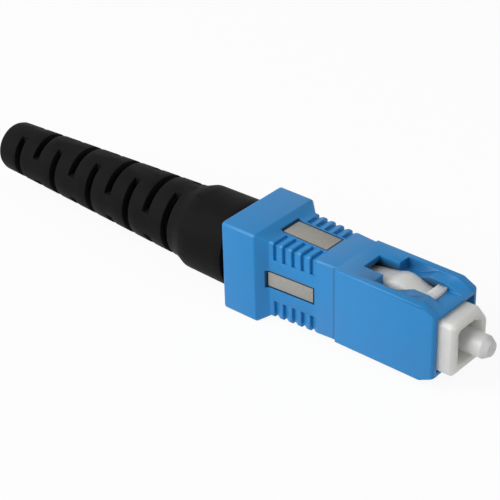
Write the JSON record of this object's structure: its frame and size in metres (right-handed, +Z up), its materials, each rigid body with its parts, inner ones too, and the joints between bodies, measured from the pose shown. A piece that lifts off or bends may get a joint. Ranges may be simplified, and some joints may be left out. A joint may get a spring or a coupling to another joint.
{
  "type": "push-pull fibre optic connector plug",
  "caption": "Square push-pull fibre connector plug with a sprung ceramic ferrule, a sliding grip housing with latch windows and a slotted strain relief boot.",
  "frame": {"origin": "centre of the ferrule's end face, at rest", "axes": "+X along the ferrule in the mating direction, +Z up through a latch window, key towards +Y"},
  "size_m": [0.0683, 0.01, 0.0108],
  "materials": {
    "blue_housing": "satin moulded",
    "grey_sleeve": "matte moulded",
    "white_frame": "satin moulded",
    "ceramic": "polished ceramic",
    "glass_fibre": "polished",
    "holder_metal": "turned, nickel plated",
    "splice_plastic": "moulded",
    "crimp_metal": "annealed tube",
    "liner_plastic": "extruded",
    "cam_plastic": "moulded",
    "spring_steel": "drawn wire",
    "backbone_metal": "turned, nickel plated",
    "boot_rubber": "matte moulded"
  },
  "bodies": {
    "core": {"plug_frame": "white_frame", "backbone": "backbone_metal", "boot": "boot_rubber", "spring": "spring_steel"},
    "housing": {"outer_housing": "blue_housing", "retainer_sleeve": "grey_sleeve"},
    "ferrule": {"ferrule": "ceramic", "fibre_stub": "glass_fibre", "ferrule_holder": "holder_metal", "splice_base": "splice_plastic", "splice_cover": "splice_plastic", "crimp_tube": "crimp_metal", "lead_in_tube": "liner_plastic"},
    "cam": {"cam_sleeve": "cam_plastic"}
  },
  "joints": [
    {"name": "housing_slide", "type": "slide", "parent": "core", "child": "housing", "axis": [1, 0, 0], "range_m": [0, 0.0012]},
    {"name": "ferrule_float", "type": "slide", "parent": "core", "child": "ferrule", "axis": [-1, 0, 0], "range_m": [0, 0.001], "stiffness_N_per_m": 1000, "deforming": ["spring"]},
    {"name": "cam_turn", "type": "hinge", "parent": "ferrule", "child": "cam", "pos_m": [-0.0359, 0, 0], "axis": [1, 0, 0], "range_deg": [0, 90]}
  ]
}
